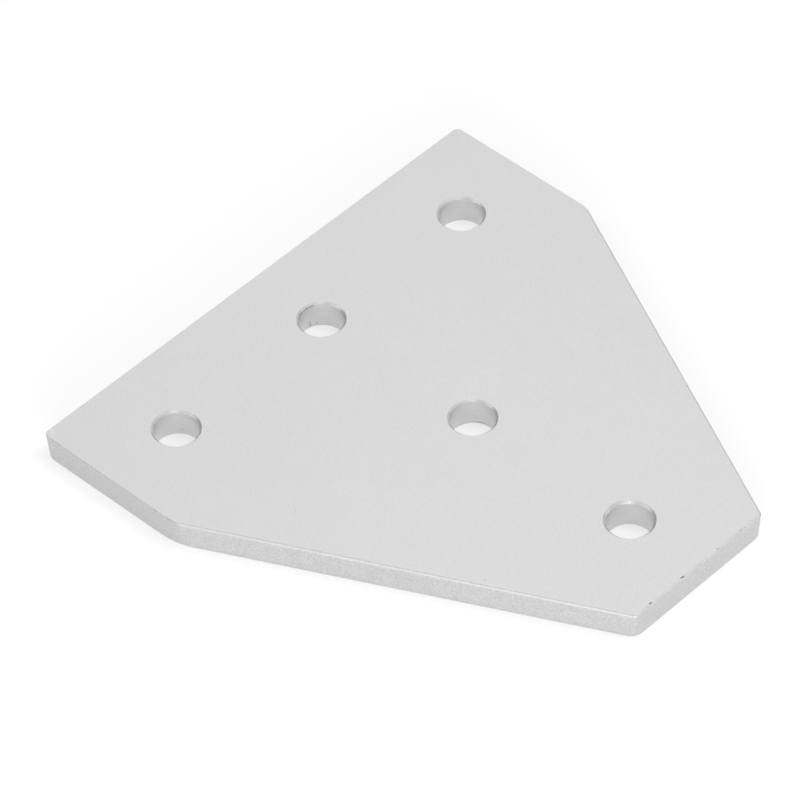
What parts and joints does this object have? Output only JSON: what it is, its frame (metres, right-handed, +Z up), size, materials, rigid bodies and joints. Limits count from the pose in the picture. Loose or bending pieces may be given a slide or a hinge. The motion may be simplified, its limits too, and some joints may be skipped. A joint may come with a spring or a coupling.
{
  "type": "extrusion joining plate",
  "caption": "Flat T-shaped joining plate with straight tapering sides and round screw holes, for fastening two slotted framing extrusions at a right angle.",
  "frame": {"origin": "centre of the crossbar's middle hole, at the underside that lies on the extrusions", "axes": "+X along the crossbar, -Y along the stem, +Z up through the plate's thickness, away from the extrusions"},
  "size_m": [0.116, 0.1152, 0.006],
  "materials": {
    "plate_metal": "bead-blasted and clear anodised, matt silver grey"
  },
  "bodies": {
    "root": {"joining_plate": "plate_metal"}
  },
  "joints": []
}
